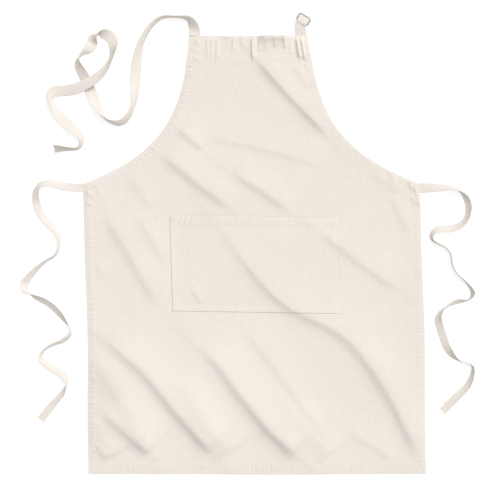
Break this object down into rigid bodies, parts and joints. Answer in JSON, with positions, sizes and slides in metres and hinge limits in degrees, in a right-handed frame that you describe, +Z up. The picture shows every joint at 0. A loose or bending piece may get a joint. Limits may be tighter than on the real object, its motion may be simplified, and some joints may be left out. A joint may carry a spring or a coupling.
{
  "type": "artist smock apron",
  "caption": "Bib apron in washed cream canvas with curved armholes, a wide front pocket, a long neck strap, waist ties and a pair of D-rings to adjust the strap.",
  "frame": {"origin": "on the surface that the apron lies on, under the middle of the apron without its strap and ties", "axes": "+Z up out of the face of the apron, +Y towards the bib, +X towards the D-ring side"},
  "size_m": [0.8774, 0.8862, 0.0107],
  "materials": {
    "canvas": "washed plain-weave cotton canvas, matt",
    "tape": "folded strap of the same canvas, edge stitched",
    "thread": "matt cotton sewing thread",
    "ring_metal": "satin nickel plated wire"
  },
  "bodies": {
    "apron": {"main_panel": "canvas", "bib_facing": "canvas", "left_armhole_hem": "canvas", "right_armhole_hem": "canvas", "left_side_hem": "canvas", "right_side_hem": "canvas", "bottom_hem": "canvas", "pocket_panel": "canvas", "pocket_top_hem": "canvas", "pocket_left_turning": "canvas", "pocket_right_turning": "canvas", "pocket_bottom_turning": "canvas", "neck_strap_root": "tape", "neck_strap": "tape", "left_tie_root": "tape", "left_waist_tie": "tape", "right_tie_root": "tape", "right_waist_tie": "tape", "ring_tab_root": "tape", "ring_tab": "tape", "facing_stitching": "thread", "armhole_stitching": "thread", "side_hem_stitching": "thread", "bottom_hem_stitching": "thread", "pocket_edge_stitching": "thread", "pocket_hem_stitching": "thread", "pocket_bar_tacks": "thread", "neck_strap_box_stitch": "thread", "ring_tab_box_stitch": "thread", "tie_box_stitches": "thread", "ring_tab_cross_stitch": "thread"},
    "upper_ring": {"upper_d_ring": "ring_metal"},
    "lower_ring": {"lower_d_ring": "ring_metal"}
  },
  "joints": [
    {"name": "upper_ring_swing", "type": "hinge", "parent": "apron", "child": "upper_ring", "pos_m": [0.09115, 0.42454, 0.0046], "axis": [0.848, -0.5299, 0], "range_deg": [0, 165]},
    {"name": "lower_ring_swing", "type": "hinge", "parent": "apron", "child": "lower_ring", "pos_m": [0.09115, 0.42454, 0.002], "axis": [0.848, -0.5299, 0], "range_deg": [-155, 0]}
  ]
}
